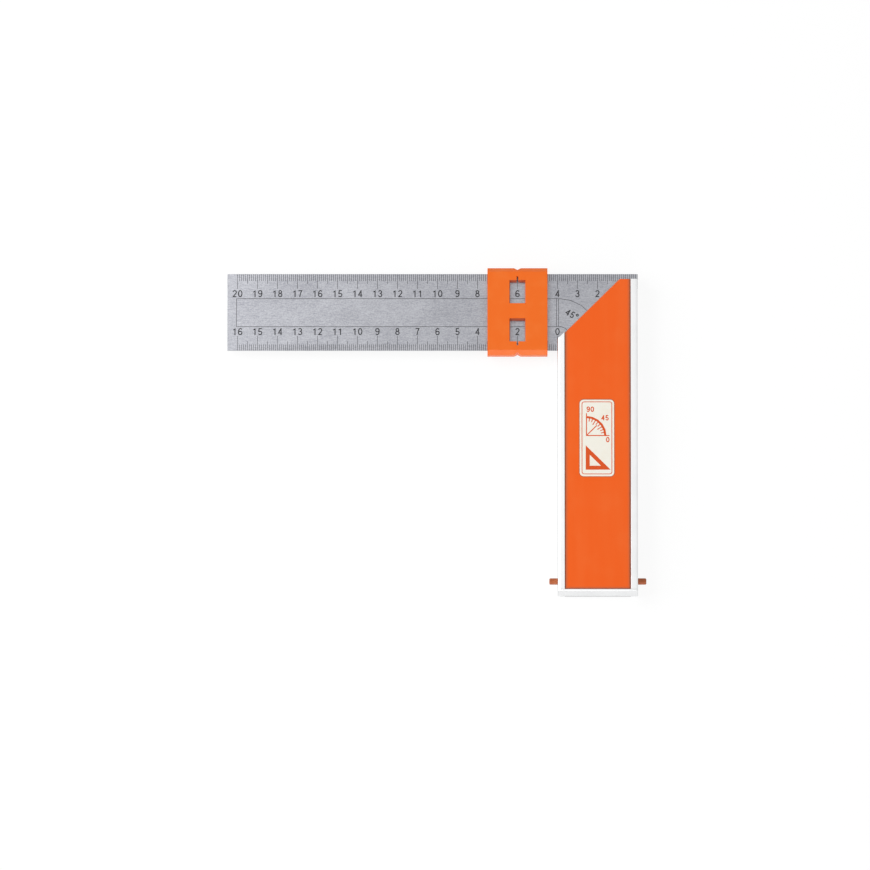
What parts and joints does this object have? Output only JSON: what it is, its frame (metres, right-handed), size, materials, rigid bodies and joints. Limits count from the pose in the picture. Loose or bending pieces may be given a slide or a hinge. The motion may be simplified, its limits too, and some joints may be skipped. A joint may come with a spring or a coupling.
{
  "type": "adjustable set square",
  "caption": "Set square with an etched steel rule, a handle mitred at 45 degrees, a sliding window marker with pencil notches and a push-through support pin.",
  "frame": {"origin": "inner corner of the square, where the blade's lower edge meets the handle's inner face, on the plane that the handle's back rests on", "axes": "+X across the handle from its inner face to its outer edge, so the free blade runs along -X; +Y up the handle, square to the blade's edge; +Z from the back face to the front face"},
  "size_m": [0.2092, 0.1655, 0.015],
  "materials": {
    "bare_aluminium": "fine sawn and anodised satin",
    "cap_aluminium": "satin",
    "etched_steel": "satin ground along its length, scale etched dark grey",
    "rivet_steel": "plain",
    "orange_panel": "fine moulded satin",
    "cream_label": "printed, smooth",
    "orange_pin": "satin",
    "ring_rubber": "matte",
    "keeper_brass": "plain",
    "orange_slider": "moulded, semi-gloss",
    "spring_steel": "plain"
  },
  "bodies": {
    "square": {"handle_body": "bare_aluminium", "end_cap": "cap_aluminium", "blade": "etched_steel", "blade_rivets": "rivet_steel", "front_panel": "orange_panel", "back_panel": "orange_panel", "front_label": "cream_label", "back_label": "cream_label", "pin_keeper": "keeper_brass"},
    "slider": {"slider_front": "orange_slider", "slider_back": "orange_slider", "slider_spring": "spring_steel"},
    "support_pin": {"support_pin": "orange_pin", "pin_ring_left": "ring_rubber", "pin_ring_right": "ring_rubber"}
  },
  "joints": [
    {"name": "slider_slide", "type": "slide", "parent": "square", "child": "slider", "axis": [1, 0, 0], "range_m": [-0.14, 0.0048]},
    {"name": "support_pin_slide", "type": "slide", "parent": "square", "child": "support_pin", "axis": [1, 0, 0], "range_m": [-0.0042, 0.0042]}
  ]
}
